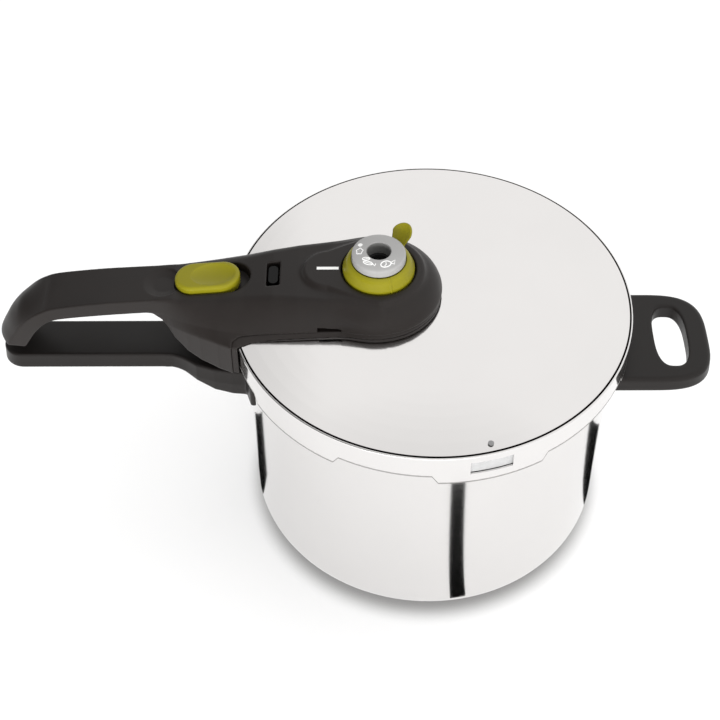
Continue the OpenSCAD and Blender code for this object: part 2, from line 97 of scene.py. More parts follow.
def plastic(name, color, rough=0.42, grain=2600.0, bump=0.25, coat=0.0, mottle=0.12, gloss=0.5):
    """Moulded plastic: fine grain, faint mottling and edges rubbed a little smoother."""
    m, nodes, links = material(name)
    p = node(nodes, "ShaderNodeBsdfPrincipled")
    p.inputs["Specular IOR Level"].default_value = gloss
    p.inputs["Coat Weight"].default_value = coat
    p.inputs["Coat Roughness"].default_value = 0.12
    co = node(nodes, "ShaderNodeTexCoord")
    wide = node(nodes, "ShaderNodeTexNoise", Scale=38.0, Detail=3.0, Roughness=0.6)
    fine = node(nodes, "ShaderNodeTexNoise", Scale=grain, Detail=2.0, Roughness=0.5)
    links.new(co.outputs["Object"], wide.inputs["Vector"])
    links.new(co.outputs["Object"], fine.inputs["Vector"])
    tone = ramp(nodes, 0.3, 0.7, 1.0 - mottle, 1.0 + mottle)
    links.new(wide.outputs["Fac"], tone.inputs["Value"])
    mixc = node(nodes, "ShaderNodeMix", data_type="RGBA", blend_type="MULTIPLY")
    mixc.inputs["Factor"].default_value = 1.0
    mixc.inputs["A"].default_value = (*color, 1.0)
    links.new(tone.outputs["Result"], mixc.inputs["B"])
    links.new(mixc.outputs["Result"], p.inputs["Base Color"])
    shine = ramp(nodes, 0.3, 0.7, rough - 0.05, rough + 0.06)
    links.new(wide.outputs["Fac"], shine.inputs["Value"])
    geo = node(nodes, "ShaderNodeNewGeometry")
    worn = ramp(nodes, 0.52, 0.62, 0.0, 0.08)
    links.new(geo.outputs["Pointiness"], worn.inputs["Value"])
    less = node(nodes, "ShaderNodeMath", operation="SUBTRACT")
    links.new(shine.outputs["Result"], less.inputs[0])
    links.new(worn.outputs["Result"], less.inputs[1])
    links.new(less.outputs[0], p.inputs["Roughness"])
    relief = node(nodes, "ShaderNodeBump", Strength=bump, Distance=0.00006)
    links.new(fine.outputs["Fac"], relief.inputs["Height"])
    links.new(relief.outputs["Normal"], p.inputs["Normal"])
    return finish_material(m, nodes, links, p)


def metal(name, color, rough=0.12, streak=0.03, kind="polish", scale=900.0, bump=0.02, groove=None):
    """Metal. kind is polish or spun (marks in rings about the pot axis), or stamped (grain only)."""
    m, nodes, links = material(name)
    p = node(nodes, "ShaderNodeBsdfPrincipled")
    p.inputs["Metallic"].default_value = 1.0
    co = node(nodes, "ShaderNodeTexCoord")
    wide = node(nodes, "ShaderNodeTexNoise", Scale=14.0, Detail=3.0, Roughness=0.55)
    links.new(co.outputs["Object"], wide.inputs["Vector"])
    tone = ramp(nodes, 0.3, 0.7, 0.985, 1.01)
    links.new(wide.outputs["Fac"], tone.inputs["Value"])
    mixc = node(nodes, "ShaderNodeMix", data_type="RGBA", blend_type="MULTIPLY")
    mixc.inputs["Factor"].default_value = 1.0
    mixc.inputs["A"].default_value = (*color, 1.0)
    links.new(tone.outputs["Result"], mixc.inputs["B"])
    links.new(mixc.outputs["Result"], p.inputs["Base Color"])
    if kind == "stamped":
        marks = node(nodes, "ShaderNodeTexNoise", Scale=scale, Detail=3.0, Roughness=0.6)
        links.new(co.outputs["Object"], marks.inputs["Vector"])
    else:
        # radius and height only, so that the noise runs in rings
        sep = node(nodes, "ShaderNodeSeparateXYZ")
        links.new(co.outputs["Object"], sep.inputs[0])
        flat = node(nodes, "ShaderNodeCombineXYZ")
        links.new(sep.outputs["X"], flat.inputs["X"])
        links.new(sep.outputs["Y"], flat.inputs["Y"])
        length = node(nodes, "ShaderNodeVectorMath", operation="LENGTH")
        links.new(flat.outputs[0], length.inputs[0])
        rings = node(nodes, "ShaderNodeCombineXYZ")
        links.new(length.outputs["Value"], rings.inputs["X"])
        links.new(sep.outputs["Z"], rings.inputs["Y"])
        marks = node(nodes, "ShaderNodeTexNoise", Scale=scale, Detail=3.0, Roughness=0.7)
        links.new(rings.outputs[0], marks.inputs["Vector"])
    shine = ramp(nodes, 0.3, 0.7, rough - streak, rough + streak)
    links.new(marks.outputs["Fac"], shine.inputs["Value"])
    links.new(shine.outputs["Result"], p.inputs["Roughness"])
    relief = node(nodes, "ShaderNodeBump", Strength=bump, Distance=0.00004)
    links.new(marks.outputs["Fac"], relief.inputs["Height"])
    links.new(relief.outputs["Normal"], p.inputs["Normal"])
    if groove is None:
        return finish_material(m, nodes, links, p)
    # painted shade: a dark line in the groove at the edge of the lid, standing in for the shadow in the
    # gap
    radius, half_width, low = groove
    off = node(nodes, "ShaderNodeMath", operation="SUBTRACT")
    off.inputs[1].default_value = radius
    links.new(length.outputs["Value"], off.inputs[0])
    away = node(nodes, "ShaderNodeMath", operation="ABSOLUTE")
    links.new(off.outputs[0], away.inputs[0])
    near = node(nodes, "ShaderNodeMath", operation="LESS_THAN")
    near.inputs[1].default_value = half_width
    links.new(away.outputs[0], near.inputs[0])
    high = node(nodes, "ShaderNodeMath", operation="GREATER_THAN")
    high.inputs[1].default_value = low
    links.new(sep.outputs["Z"], high.inputs[0])
    both = node(nodes, "ShaderNodeMath", operation="MULTIPLY")
    links.new(near.outputs[0], both.inputs[0])
    links.new(high.outputs[0], both.inputs[1])
    groove_shade = node(nodes, "ShaderNodeBsdfPrincipled", Roughness=0.9)
    groove_shade.inputs["Base Color"].default_value = (0.004, 0.0035, 0.003, 1.0)
    groove_shade.inputs["Specular IOR Level"].default_value = 0.05
    mixed = node(nodes, "ShaderNodeMixShader")
    links.new(both.outputs[0], mixed.inputs[0])
    links.new(p.outputs[0], mixed.inputs[1])
    links.new(groove_shade.outputs[0], mixed.inputs[2])
    return finish_material(m, nodes, links, mixed)


def rubber(name, color, rough=0.5):
    """Silicone: soft, a little translucent, with dusty mottling."""
    m, nodes, links = material(name)
    p = node(nodes, "ShaderNodeBsdfPrincipled")
    p.inputs["Subsurface Weight"].default_value = 0.25
    p.inputs["Subsurface Radius"].default_value = (0.003, 0.003, 0.003)
    co = node(nodes, "ShaderNodeTexCoord")
    dust = node(nodes, "ShaderNodeTexNoise", Scale=220.0, Detail=4.0, Roughness=0.6)
    links.new(co.outputs["Object"], dust.inputs["Vector"])
    tone = ramp(nodes, 0.3, 0.7, 0.93, 1.05)
    links.new(dust.outputs["Fac"], tone.inputs["Value"])
    mixc = node(nodes, "ShaderNodeMix", data_type="RGBA", blend_type="MULTIPLY")
    mixc.inputs["Factor"].default_value = 1.0
    mixc.inputs["A"].default_value = (*color, 1.0)
    links.new(tone.outputs["Result"], mixc.inputs["B"])
    links.new(mixc.outputs["Result"], p.inputs["Base Color"])
    shine = ramp(nodes, 0.3, 0.7, rough - 0.08, rough + 0.08)
    links.new(dust.outputs["Fac"], shine.inputs["Value"])
    links.new(shine.outputs["Result"], p.inputs["Roughness"])
    relief = node(nodes, "ShaderNodeBump", Strength=0.15, Distance=0.0001)
    links.new(dust.outputs["Fac"], relief.inputs["Height"])
    links.new(relief.outputs["Normal"], p.inputs["Normal"])
    return finish_material(m, nodes, links, p)


BLACK = (0.0118, 0.0093, 0.0083)
GREEN = (0.215, 0.195, 0.008)
STEEL = (0.80, 0.785, 0.775)
GROOVE_HALF = 0.58
# the groove argument paints a dark line of shade into the groove at the lid's edge
mat_steel = metal("polished_steel", STEEL, rough=0.10, streak=0.025, scale=1500.0, bump=0.012,
                  groove=(EDGE_R * MM, GROOVE_HALF * MM, (EDGE_Z - 1.2) * MM))
# painted shade: the skirt's hem is the same steel, painted darker grey to draw the shading line along its
# lower edge
mat_hem_shade = metal("skirt_hem_painted_shade", (0.42, 0.41, 0.4),
                 rough=0.45, streak=0.08, kind="stamped", scale=900.0, bump=0.05)
mat_wall = metal("pot_steel", (0.765, 0.75, 0.74),
                 rough=0.11, streak=0.03, kind="polish", scale=1200.0, bump=0.012)
mat_spun = metal("spun_steel", (0.66, 0.65, 0.64),
                 rough=0.3, streak=0.1, kind="spun", scale=2600.0, bump=0.12)
mat_plate = metal("stamped_steel", (0.6, 0.59, 0.58),
                  rough=0.34, streak=0.08, kind="stamped", scale=700.0, bump=0.1)
mat_dim = metal("dull_steel", (0.16, 0.16, 0.155),
                rough=0.5, streak=0.08, kind="stamped", scale=700.0, bump=0.1)
mat_brass = metal("turned_brass", (0.66, 0.5, 0.22),
                  rough=0.25, streak=0.08, kind="stamped", scale=1400.0, bump=0.06)
mat_alu = metal("raw_aluminium", (0.7, 0.7, 0.71),
                rough=0.4, streak=0.1, kind="spun", scale=1800.0, bump=0.1)
mat_black = plastic("black_plastic", BLACK, gloss=0.3)
mat_bakelite = plastic("black_phenolic", (0.0088, 0.0072, 0.0065),
                       rough=0.4, grain=2200.0, bump=0.2, mottle=0.1, gloss=0.28)
mat_core = plastic("grey_plastic", (0.02, 0.02, 0.02), rough=0.5, gloss=0.2)
mat_dark = plastic("smooth_black", (0.004, 0.004, 0.004), rough=0.4, bump=0.08, gloss=0.15)
mat_green = plastic("green_plastic", GREEN, rough=0.32, grain=3000.0, bump=0.06, mottle=0.04, gloss=0.22)
mat_dial = plastic("dial_grey", (0.325, 0.322, 0.318), rough=0.4, grain=3000.0, bump=0.08, mottle=0.04)
# darker copy of the dial grey: painted shade inside the dial's hole
mat_bore_shade = plastic("dial_bore_painted_shade", (0.19, 0.19, 0.185), rough=0.5, gloss=0.2)
mat_white = plastic("white_print", (0.86, 0.86, 0.85), rough=0.5, grain=3000.0, bump=0.05, mottle=0.03)
mat_silicone = rubber("silicone", (0.4, 0.4, 0.4))
mat_grey_rubber = rubber("grey_silicone", (0.3, 0.3, 0.3), rough=0.6)
mat_rivet = metal("grey_rivet", (0.32, 0.32, 0.32),
                  rough=0.35, streak=0.05, kind="stamped", scale=900.0, bump=0.05)


# ---------------------------------------------------------------- mesh building
def add_mesh(name, verts, faces, mat, sharp=40.0):
    me = bpy.data.meshes.new(name)
    points = [tuple(float(c) * MM for c in v) for v in verts]
    me.from_pydata(points, [], [tuple(int(i) for i in f) for f in faces])
    me.validate()
    me.polygons.foreach_set("use_smooth", [True] * len(me.polygons))
    me.set_sharp_from_angle(angle=math.radians(sharp))
    me.materials.append(mat)
    ob = bpy.data.objects.new(name, me)
    bpy.context.collection.objects.link(ob)
    return ob


def lathe(profile, segs=192, centre=(0.0, 0.0), closed=True):
    """Verts and faces of a profile [(r, z)...] turned about Z. A point on the axis becomes a pole."""
    verts, faces, ring = [], [], []
    for r, z in profile:
        if r < 1e-6:
            ring.append([len(verts)] * segs)
            verts.append((centre[0], centre[1], z))
            continue
        ring.append(list(range(len(verts), len(verts) + segs)))
        for i in range(segs):
            a = 2 * math.pi * i / segs
            verts.append((centre[0] + r * math.cos(a), centre[1] + r * math.sin(a), z))
    n = len(profile)
    for j in range(n if closed else n - 1):
        p, q = ring[j], ring[(j + 1) % n]
        for i in range(segs):
            k = (i + 1) % segs
            f = []
            for v in (p[i], p[k], q[k], q[i]):
                if v not in f:
                    f.append(v)
            if len(f) > 2:
                faces.append(f)
    return verts, faces


def join(parts):
    verts, faces = [], []
    for v, f in parts:
        base = len(verts)
        verts += list(v)
        faces += [[i + base for i in face] for face in f]
    return verts, faces


# ---------------------------------------------------------------- solids from distance functions
def smin(a, b, k):
    h = np.maximum(k - np.abs(a - b), 0.0) / k
    return np.minimum(a, b) - h * h * k * 0.25


def smax(a, b, k):
    return -smin(-a, -b, k)


def nets(f, low, high, h):
    """Surface of f(x, y, z) = 0 inside a box, as quads with every corner moved onto the surface."""
    axes = [np.arange(low[i] - h, high[i] + 2 * h, h) for i in range(3)]
    v = f(axes[0][:, None, None], axes[1][None, :, None], axes[2][None, None, :])
    v = np.broadcast_to(v, [len(a) for a in axes])
    s = v < 0
    cells = [len(a) - 1 for a in axes]
    total = np.zeros(cells + [3])
    count = np.zeros(cells)
    quads = []
    index = np.full(cells, -1, dtype=np.int64)
    crossings = []
    for ax in range(3):
        a = [slice(None)] * 3
        b = [slice(None)] * 3
        a[ax] = slice(0, -1)
        b[ax] = slice(1, None)
        va, vb = v[tuple(a)], v[tuple(b)]
        sa, sb = s[tuple(a)], s[tuple(b)]
        i, j, k = np.nonzero(sa != sb)
        t = va[i, j, k] / (va[i, j, k] - vb[i, j, k])
        at = [i, j, k]
        pos = np.stack([axes[d][at[d]] for d in range(3)], 1).astype(float)
        pos[:, ax] += t * h
        crossings.append((ax, at, sa[i, j, k]))
        o1, o2 = [d for d in range(3) if d != ax]
        for d1 in (0, -1):
            for d2 in (0, -1):
                c = [x.copy() for x in at]
                c[o1] = c[o1] + d1
                c[o2] = c[o2] + d2
                ok = (c[o1] >= 0) & (c[o2] >= 0) & (c[o1] < cells[o1]) & (c[o2] < cells[o2])
                key = (c[0][ok], c[1][ok], c[2][ok])
                np.add.at(total, key, pos[ok])
                np.add.at(count, key, 1)
    used = np.nonzero(count)
    index[used] = np.arange(len(used[0]))
    p = total[used] / count[used][:, None]
    for ax, at, inside in crossings:
        o1, o2 = [(1, 2), (2, 0), (0, 1)][ax]
        corner = []
        for d1, d2 in ((-1, -1), (0, -1), (0, 0), (-1, 0)):
            c = [x.copy() for x in at]
            c[o1] = c[o1] + d1
            c[o2] = c[o2] + d2
            corner.append(index[c[0], c[1], c[2]])
        q = np.stack(corner, 1)
        q[~inside] = q[~inside][:, ::-1]
        quads.append(q)
    quads = np.concatenate(quads)
    e = 0.02
    for _ in range(4):
        d = f(p[:, 0], p[:, 1], p[:, 2])
        g = np.stack([
            f(p[:, 0] + e, p[:, 1], p[:, 2]) - f(p[:, 0] - e, p[:, 1], p[:, 2]),
            f(p[:, 0], p[:, 1] + e, p[:, 2]) - f(p[:, 0], p[:, 1] - e, p[:, 2]),
            f(p[:, 0], p[:, 1], p[:, 2] + e) - f(p[:, 0], p[:, 1], p[:, 2] - e)], 1) / (2 * e)
        g2 = np.maximum((g ** 2).sum(1), 0.05)
        step = np.clip(d / g2, -h * 0.6, h * 0.6)
        p = p - g * step[:, None] * 0.9
    return p, quads


def box_d(x, y, z, c, half, r=0.0):
    qx, qy, qz = (np.abs(v - c[i]) - half[i] + r for i, v in enumerate((x, y, z)))
    out = np.sqrt(np.maximum(qx, 0) ** 2 + np.maximum(qy, 0) ** 2 + np.maximum(qz, 0) ** 2)
    return out + np.minimum(np.maximum(qx, np.maximum(qy, qz)), 0) - r


def round2(a, b, r):
    """Rounded corner between two distances."""
    qa, qb = a + r, b + r
    corner = np.sqrt(np.maximum(qa, 0) ** 2 + np.maximum(qb, 0) ** 2)
    return corner + np.minimum(np.maximum(qa, qb), 0) - r


def capsule2(x, y, ax, ay, bx, by, ra, rb):
    """Distance in a plane to a line whose width runs from ra to rb."""
    dx, dy = bx - ax, by - ay
    t = np.clip(((x - ax) * dx + (y - ay) * dy) / (dx * dx + dy * dy), 0, 1)
    return np.hypot(x - ax - t * dx, y - ay - t * dy) - (ra + (rb - ra) * t)


def spline(points, n=10):
    """Smooth curve through points with any number of values each."""
    p = [np.array(q, float) for q in points]
    p = [2 * p[0] - p[1]] + p + [2 * p[-1] - p[-2]]
    out = []
    for i in range(1, len(p) - 2):
        for k in range(n):
            t = k / n
            out.append(0.5 * (2 * p[i] + (p[i + 1] - p[i - 1]) * t
                              + (2 * p[i - 1] - 5 * p[i] + 4 * p[i + 1] - p[i + 2]) * t * t
                              + (3 * p[i] - p[i - 1] - 3 * p[i + 1] + p[i + 2]) * t ** 3))
    out.append(p[-2])
    return np.array(out)


def sweep_d(x, y, z, line, r):
    """Bar along a curve in the XZ plane. line rows: x, z, half thickness, half width."""
    best = None
    for a, b in zip(line[:-1], line[1:]):
        dx, dz = b[0] - a[0], b[1] - a[1]
        t = np.clip(((x - a[0]) * dx + (z - a[1]) * dz) / (dx * dx + dz * dz), 0, 1)
        d = np.hypot(x - a[0] - t * dx, z - a[1] - t * dz) - (a[2] + (b[2] - a[2]) * t)
        w = a[3] + (b[3] - a[3]) * t
        if best is None:
            best, wide = d + 0 * w, w + 0 * d
        else:
            wide = np.where(d < best, w, wide)
            best = np.minimum(best, d)
    return round2(best, np.abs(y) - wide, r)


def piece(name, f, low, high, h, mat, sharp=50.0):
    p, q = nets(f, low, high, h)
    return add_mesh(name, p, q, mat, sharp)


# ---------------------------------------------------------------- lid handle, upper and lower shell
# centre line of the long grip: x, z, half thickness, half width
GRIP = spline([
    (-254.0, 145.0, 4.9, 14.8), (-252.2, 150.6, 4.9, 15.2), (-249.0, 156.4, 5.0, 15.6),
    (-244.6, 163.8, 5.1, 16.0), (-238.8, 170.4, 4.8, 16.2), (-232.5, 174.8, 4.6, 16.0),
    (-224.0, 177.6, 4.8, 15.6), (-200.0, 180.7, 5.2, 15.2), (-176.0, 182.7, 5.2, 15.0),
    (-155.0, 184.2, 5.0, 15.0)], 6)
# belly, neck and head, one row per section: x, top, underside, half width above and below
NECK = np.array([
    (-181.0, 182.0, 180.0, 11.6, 11.8), (-174.0, 184.4, 178.6, 12.4, 12.8),
    (-167.0, 187.0, 176.2, 13.8, 14.6), (-162.0, 188.1, 173.0, 14.6, 16.2),
    (-158.5, 188.4, 168.5, 14.9, 18.2), (-155.0, 188.7, 162.5, 15.0, 20.7),
    (-147.0, 189.3, 155.4, 15.2, 25.0), (-139.0, 190.0, 151.8, 15.2, 28.5),
    (-128.0, 191.0, 149.8, 15.4, 32.2), (-112.0, 193.2, 149.7, 16.3, 35.2),
    (-95.0, 196.2, 149.7, 18.5, 36.6), (-80.0, 197.6, 149.7, 21.0, 37.4),
    (-60.0, 198.3, 149.7, 24.0, 37.9), (-32.0, 198.4, 149.7, 27.0, 38.2),
    (20.0, 198.4, 149.7, 27.0, 38.2)])
NECK_X, NECK_TOP, NECK_LOW, NECK_TOPW, NECK_LOWW = NECK.T


def neck_d(x, y, z):
    """Belly, neck and head of the lid handle before it is cut to the lid."""
    top = np.interp(x, NECK_X, NECK_TOP)
    low = np.interp(x, NECK_X, NECK_LOW)
    middle = NECK_X[:-1] + np.diff(NECK_X) / 2
    slope = np.interp(x, middle, np.diff(NECK_LOW) / np.diff(NECK_X))
    below = (low - z) / np.sqrt(1 + slope ** 2)
    foot = np.interp(x, NECK_X, np.maximum(NECK_LOW, 172.0))
    part = np.clip((top - z) / (top - np.minimum(foot, top - 6.0)), 0.0, 1.0)
    half = np.interp(x, NECK_X, NECK_TOPW)
    half = half + (np.interp(x, NECK_X, NECK_LOWW) - half) * part ** 0.62
    # flare where the flank turns down over the edge of the lid
    r = np.hypot(x, y)
    near = np.exp(-np.maximum(SKIRT_R - r, 0.0) / 10.0 - np.maximum(r - WRAP_OUT, 0.0) / 11.0)
    half = half + 5.2 * near * np.clip((177.5 - z) / 4.5, 0.0, 1.0)
    side = (np.abs(y) - half) * 0.86
    d = round2(smax(z - top, below, 3.0), side, 1.2)
    d = np.maximum(d, np.maximum(-176.0 - x, x - VALVE_X))
    r = np.hypot(x - VALVE_X, y)
    head = smax(r - 38.4 + np.maximum(z - 186.0, 0) * 0.12, z - 198.7, 17.0)
    return smin(d, np.maximum(head, 160.0 - z), 5.0)


def grip_d(x, y, z):
    """Long grip, with its tail crowned outwards along the middle."""
    rise = np.clip((-233.0 - x) / 18.0, 0.0, 1.0)
    crown = 7.2 * rise * rise * (3.0 - 2.0 * rise) * (1.0 - np.minimum(np.abs(y) / 16.0, 1.0) ** 2)
    bar = np.minimum(sweep_d(x, y, z, GRIP, 0.8), sweep_d(x + crown, y, z, GRIP, 0.8))
    return smax(bar, 148.6 - z - 0.12 * (x + 250.0), 1.0)


def under_lid(x, y, z, lift):
    """Negative inside the space that belongs to the lid and the lower shell."""
    r = np.hypot(x, y)
    seam = cap_z(np.minimum(r, SKIRT_R)) + lift - 0.045 * np.maximum(r - EDGE_R + 1.5, 0.0) ** 2
    return smax(z - seam, r - WRAP_OUT, 3.0)


def cover_d(x, y, z):
    d = smin(neck_d(x, y, z), grip_d(x, y, z), 2.0)
    drop = smax(capsule2(x, y, VALVE_X, 0, -62.5, 0, 27.3, 14.8), z - PLATFORM_Z, 2.2)
    d = np.maximum(smin(d, np.maximum(drop, 190.0 - z), 3.4), z - PLATFORM_Z)
    d = smax(d, -under_lid(x, y, z, SEAM), 0.9)
    # bore for the turning ring, and the deeper bore for the valve
    r = np.hypot(x - VALVE_X, y)
    d = smax(d, -smax(r - 22.3, 194.5 - z, 0.5), 1.0)
    d = smax(d, -np.maximum(r - 13.2, 175.0 - z), 0.5)
    # lock pocket with its slot
    lock = smax(capsule2(x, y - BUTTON_Y, -142.6, 0, -120.9, 0, 12.2, 12.2), 186.5 - z, 0.8)
    d = smax(d, -lock, 0.6)
    d = smax(d, -box_d(x, y, z, (-138.9, 0, 170), (7.7, 5.2, 40)), 0.5)
    # shallow dish behind the button
    round_dish = np.hypot(x + 161.5, y) - 11.3
    dish = 188.3 - 1.3 * np.clip(-round_dish / 5.0, 0, 1)
    d = smax(d, -smax(round_dish, dish - z, 1.0), 0.6)
    # indicator slot and its stem bore
    d = smax(d, -box_d(x, y, z, (-95.0, 0, 200.0), (3.9, 9.7, 13.0), 1.2), 0.8)
    d = smax(d, -np.maximum(np.hypot(x + 95.0, y) - 5.0, np.abs(z - 181.5) - 6.0), 0.3)
    # room for the safety valve
    d = smax(d, -np.maximum(np.hypot(x + 64.0, y) - 9.2, z - 191.0), 0.3)
    # steam vent in the front flank, on the seam
    vent = float(cap_z(73.0)) + SEAM
    return smax(d, -box_d(x, y, z, (-61.5, -33.0, vent), (7.0, 13.0, 2.6), 0.6), 0.5)


def shell_d(x, y, z):
    """Lower shell: the band between the lid and the seam, with its wall outside the skirt."""
    r = np.hypot(x, y)
    lid = smax(z - cap_z(np.minimum(r, EDGE_R)) - 0.05, r - WRAP_IN, 1.0)
    d = smax(neck_d(x, y, z) + 0.7, np.maximum(under_lid(x, y, z, SEAM - 0.2), -lid), 0.4)
    rv = np.hypot(x - VALVE_X, y)
    d = smax(d, -(rv - 10.3), 0.3)
    d = smax(d, -(np.hypot(x + 95.0, y) - 6.2), 0.3)
    return smax(d, -(np.hypot(x + 64.0, y) - 9.2), 0.3)


# ---------------------------------------------------------------- pot handle and helper handle
ROOT_X = np.array([-160.0, -157.0, -152.0, -144.0, -133.0, -122.0, -105.0])
ROOT_TOP = np.array([11.0, 13.8, 17.6, 23.2, 27.2, 29.3, 30.3])
ROOT_LOW = np.array([129.3, 129.2, 128.8, 126.4, 122.4, 120.9, 120.1])


def pot_handle_d(x, y, z):
    """Long pot handle: straight grip with a round end, and a root that flares to the pot wall."""
    qx, qy = np.abs(x + 181.87) - 82.07 + 12.0, np.abs(y) - 14.6 + 12.0
    plan = np.hypot(np.maximum(qx, 0), np.maximum(qy, 0)) + np.minimum(np.maximum(qx, qy), 0) - 12.0
    root = np.maximum((np.abs(y) - np.interp(x, ROOT_X, ROOT_TOP)) * 0.85, -160.0 - x)
    low = np.interp(x, ROOT_X, ROOT_LOW)
    part = np.clip((HANDLE_TOP - z) / 10.0, 0.0, 1.0)
    plan = smin(plan, root, 5.0) - 0.8 * part ** 1.5
    d = round2(smax(z - HANDLE_TOP, low - z, 1.0), plan, 1.3)
    r = np.hypot(x, y)
    flange = round2(np.abs(r - 115.0) - 2.5, np.maximum(np.abs(z - 130.45) - 8.75, np.abs(y) - 40.6), 0.9)
    d = smin(d, np.maximum(flange, x + 60.0), 2.0)
    for side in (-1, 1):
        d = smin(d, box_d(x, y, z, (-129.4, side * 7.15, 142.6), (2.0, 1.75, 3.7), 0.5), 0.8)
    # wall of the pot, screw recess and the long pocket underneath
    d = smax(d, BRACKET_OUT - r, 0.5)
    d = smax(d, -np.maximum(np.hypot(x + 132.0, y) - 5.0, z - 125.2), 0.4)
    return smax(d, -box_d(x, y, z, (-204.0, 0, 127.0), (36.0, 8.0, 5.6), 1.5), 0.8)


def helper_d(x, y, z):
    """Flat helper handle with a finger hole."""
    reach = np.maximum(x - 132.0, 0.0) / 41.0
    plan = ((reach ** 3.4 + (np.abs(y + 0.2) / 36.3) ** 3.4) ** (1 / 3.4) - 1.0) * 36.0
    plan = plan - 0.8 * np.clip((141.0 - z) / 11.0, 0.0, 1.0)
    d = round2(smax(z - 141.0, 130.0 - z, 0.8), plan, 2.6)
    hole = ((np.abs(x - 149.6) / 10.3) ** 2.8 + (np.abs(y) / 24.5) ** 2.8) ** (1 / 2.8)
    hole = (hole - 1.0) * 11.0
    d = smax(d, -hole, 1.4)
    d = smax(d, BRACKET_OUT - np.hypot(x, y), 0.5)
    for side in (-1, 1):
        d = smax(d, -np.maximum(np.hypot(x - 126.0, y - side * 12.0) - 4.2, z - 132.6), 0.4)
    return d


# ---------------------------------------------------------------- lock button, turning ring
def button_d(x, y, z):
    top = 192.3 + (x + 157.0) * 0.0822
    oval = ((x + 131.0) / 13.4) ** 2 + ((y - BUTTON_Y) / 9.0) ** 2
    top = top - 2.1 * np.maximum(1.0 - oval, 0.0) ** 0.8
    plan = capsule2(x, y - BUTTON_Y, -142.8, 0, -126.2, 0, 11.3, 11.3)
    d = round2(smax(z - top, 186.8 - z, 0.4), plan, 2.0)
    return smax(d, -box_d(x, y, z, (-141.6, 0, 185.0), (4.4, 4.8, 3.8)), 0.2)


def ring_d(x, y, z):
    rx, ry = x - VALVE_X, y
    r = np.hypot(rx, ry)
    cone = (r - 21.4 + np.maximum(z - 201.5, 0.0) * 0.42) * 0.93
    d = round2(smax(z - 208.4, 196.1 - z, 0.4), cone, 2.6)
    # grip leaf, leaning outwards
    a = math.radians(54.5)
    u, v = rx * math.cos(a) + ry * math.sin(a) - 19.2, -rx * math.sin(a) + ry * math.cos(a)
    t = math.radians(46.0)
    n = u * math.cos(t) - (z - 203.6) * math.sin(t)
    s = u * math.sin(t) + (z - 203.6) * math.cos(t)
    leaf = smin(capsule2(s, v, 0.0, 0, 8.0, 0, 4.0, 6.3), np.hypot(s - 10.8, v) - 3.5, 2.0)
    thick = np.abs(n + 0.05 * v ** 2 - 0.6) - 1.15
    leaf = round2(leaf, thick, 0.9)
    d = smin(d, leaf, 1.6)
    # pointer ridge
    b = math.radians(-70.0)
    along, across = rx * math.cos(b) + ry * math.sin(b), -rx * math.sin(b) + ry * math.cos(b)
    ridge = np.maximum(np.maximum(np.abs(across) - 0.5, np.abs(along - 19.5) - 2.6), d - 0.35)
    d = np.minimum(d, ridge)
    d = smax(d, -np.maximum(np.abs(r - 15.9) - 0.6, 206.8 - z), 0.2)
    return smax(d, 12.66 - r, 0.3)


def build(name, f, low, high, step, mat, node_name, body, sharp=50.0):
    ob = piece(name, f, low, high, step, mat, sharp)
    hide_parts(node_name)
    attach(ob, body)
    return ob


LUGS = (-75.0, -7.0, 51.0, 109.0, 167.0, 226.0, 285.0)
LUG_W = 33.0
LONG_Z = RIM_Z - 13.0
SHORT_Z = RIM_Z - 6.9
STEP_W = 3.6


def skirt_low(az):
    """Height of the lower edge of the skirt at an azimuth in degrees."""
    gap = LUG_W / 2.0
    out = SHORT_Z
    for mid in LUGS:
        off = abs((az - mid + 180.0) % 360.0 - 180.0) - gap
        reach = math.degrees(STEP_W / SKIRT_R)
        out = min(out, LONG_Z + (SHORT_Z - LONG_Z) * min(max((off + reach) / reach, 0.0), 1.0))
    return out


# radius and rise of the four lines that make the hem
HEM = ((120.4, -0.05), (121.53, -0.05), (121.55, 0.5), (121.51, 1.0))
ring_pts, ring_faces = [], []
SEGS = 1440
for i in range(SEGS):
    az = 360.0 * i / SEGS
    z = skirt_low(az)
    c, w = math.cos(math.radians(az)), math.sin(math.radians(az))
    ring_pts += [(r * c, r * w, z + dz) for r, dz in HEM]
for i in range(SEGS):
    j = (i + 1) % SEGS
    ring_faces += [[4 * i + k, 4 * j + k, 4 * j + k + 1, 4 * i + k + 1] for k in range(3)]
# hem ring in darker grey: painted shade along the lower edge of the skirt
hem = add_mesh("skirt_edge", ring_pts, ring_faces, mat_hem_shade)
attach(hem, "lid")

build("lid_grip_cover", cover_d, (-267, -46, 144), (8, 46, 202), 0.65, mat_black, "handle_cover", "lid")
build("lid_grip_shell", shell_d, (-132, -46, 144), (8, 46, 186), 0.65, mat_black, "handle_base", "lid")
build("pot_grip", pot_handle_d, (-267, -43, 118), (-102, 43, 148), 0.8, mat_bakelite,
      "pot_long_handle", "pot")
build("helper_grip", helper_d, (104, -39, 128), (177, 39, 143), 0.7, mat_bakelite, "helper_handle", "pot")
build("slide_button", button_d, (-157, -14, 185), (-112, 14, 197), 0.45, mat_green, "lock_button", "lock")
build("turning_ring", ring_d, (-56, -24, 195), (-6, 30, 222), 0.4, mat_green,
      "selector_ring", "selector", 40.0)

# ---------------------------------------------------------------- dial and its marks
DIAL_R = 16.0
HOLE_R = 7.3


def dial_top(r):
    """Height of the slightly coned face."""
    return 213.42 + (DIAL_R - 1.2 - r) * 0.19


